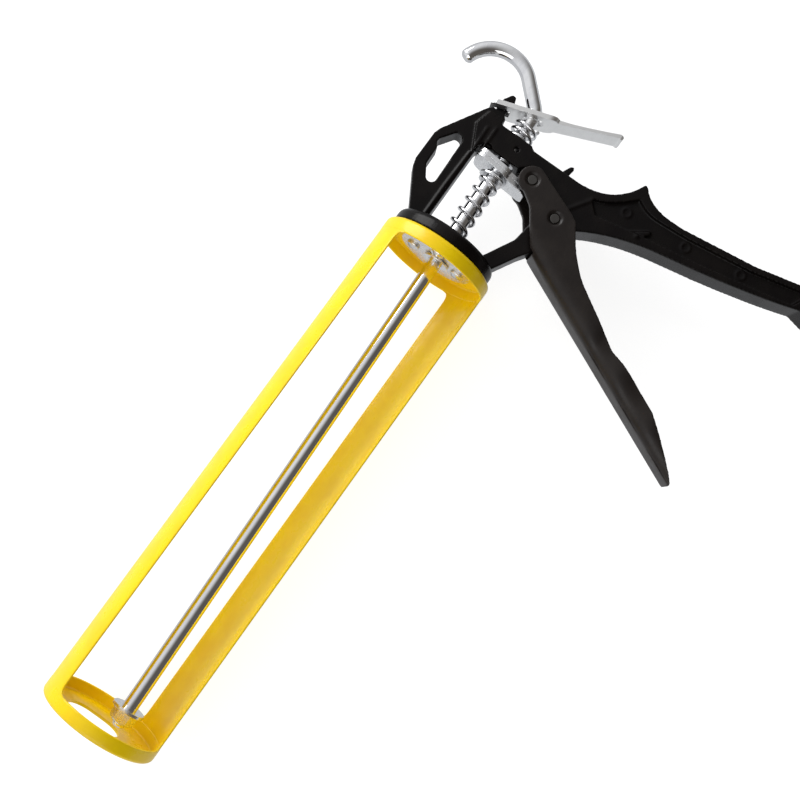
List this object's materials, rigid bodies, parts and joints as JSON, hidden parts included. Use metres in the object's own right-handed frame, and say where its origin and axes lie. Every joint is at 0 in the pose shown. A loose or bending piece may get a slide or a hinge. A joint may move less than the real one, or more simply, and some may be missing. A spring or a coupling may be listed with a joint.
{
  "type": "caulking gun",
  "caption": "Caulking gun with a strap cradle that turns on a cast body, a fixed handle, a trigger, a hooked push rod and a thumb release.",
  "frame": {"origin": "middle of the hand grip, in the gun's middle plane", "axes": "+X towards the nozzle end along the cradle, +Y to the user's left, +Z away from the handle's end, with the cradle level as in use"},
  "size_m": [0.3559, 0.056, 0.2098],
  "materials": {
    "yellow_paint": "gloss",
    "black_paint": "satin",
    "trigger_paint": "matte",
    "chrome": "polished",
    "zinc": "plated",
    "spring_steel": "plated",
    "dark_steel": "oiled"
  },
  "bodies": {
    "frame": {"body_casting": "black_paint", "retaining_plate": "zinc", "retaining_screws": "zinc", "guide_bush": "zinc", "rear_bush": "zinc", "trigger_pin": "dark_steel"},
    "cradle": {"front_cup": "yellow_paint", "rear_cup": "yellow_paint", "upper_strap": "yellow_paint", "lower_strap": "yellow_paint"},
    "rod": {"push_rod": "chrome", "tip_washer": "zinc", "tip_nut": "zinc"},
    "plates": {"front_drive_plate": "zinc", "rear_drive_plate": "zinc", "spring_washer": "zinc", "main_spring": "spring_steel"},
    "trigger": {"trigger": "trigger_paint", "thrust_pin": "dark_steel"},
    "release": {"release_plate": "zinc", "release_spring": "spring_steel"}
  },
  "joints": [
    {"name": "cradle_turn", "type": "hinge", "parent": "frame", "child": "cradle", "pos_m": [0.073, 0, 0.085], "axis": [1, 0, 0], "continuous": true},
    {"name": "rod_slide", "type": "slide", "parent": "frame", "child": "rod", "axis": [-0.9997, 0, 0.0262], "range_m": [0, 0.218]},
    {"name": "trigger_pull", "type": "hinge", "parent": "frame", "child": "trigger", "pos_m": [0.0243, 0, 0.0513], "axis": [0, 1, 0], "range_deg": [0, 30], "stiffness_Nm_per_rad": 0.8, "springref_deg": -20.05},
    {"name": "plates_slide", "type": "slide", "parent": "frame", "child": "plates", "axis": [0.9997, 0, -0.0262], "range_m": [0, 0.0106], "deforming": ["main_spring"]},
    {"name": "release_tilt", "type": "hinge", "parent": "frame", "child": "release", "pos_m": [-0.0073, 0, 0.1005], "axis": [0, -1, 0], "range_deg": [0, 10], "stiffness_Nm_per_rad": 0.15, "springref_deg": -17.19, "deforming": ["release_spring"]}
  ],
  "couplings": [
    {"joint": "plates_slide", "follows": "trigger_pull", "m_per_rad": 0.0202}
  ]
}
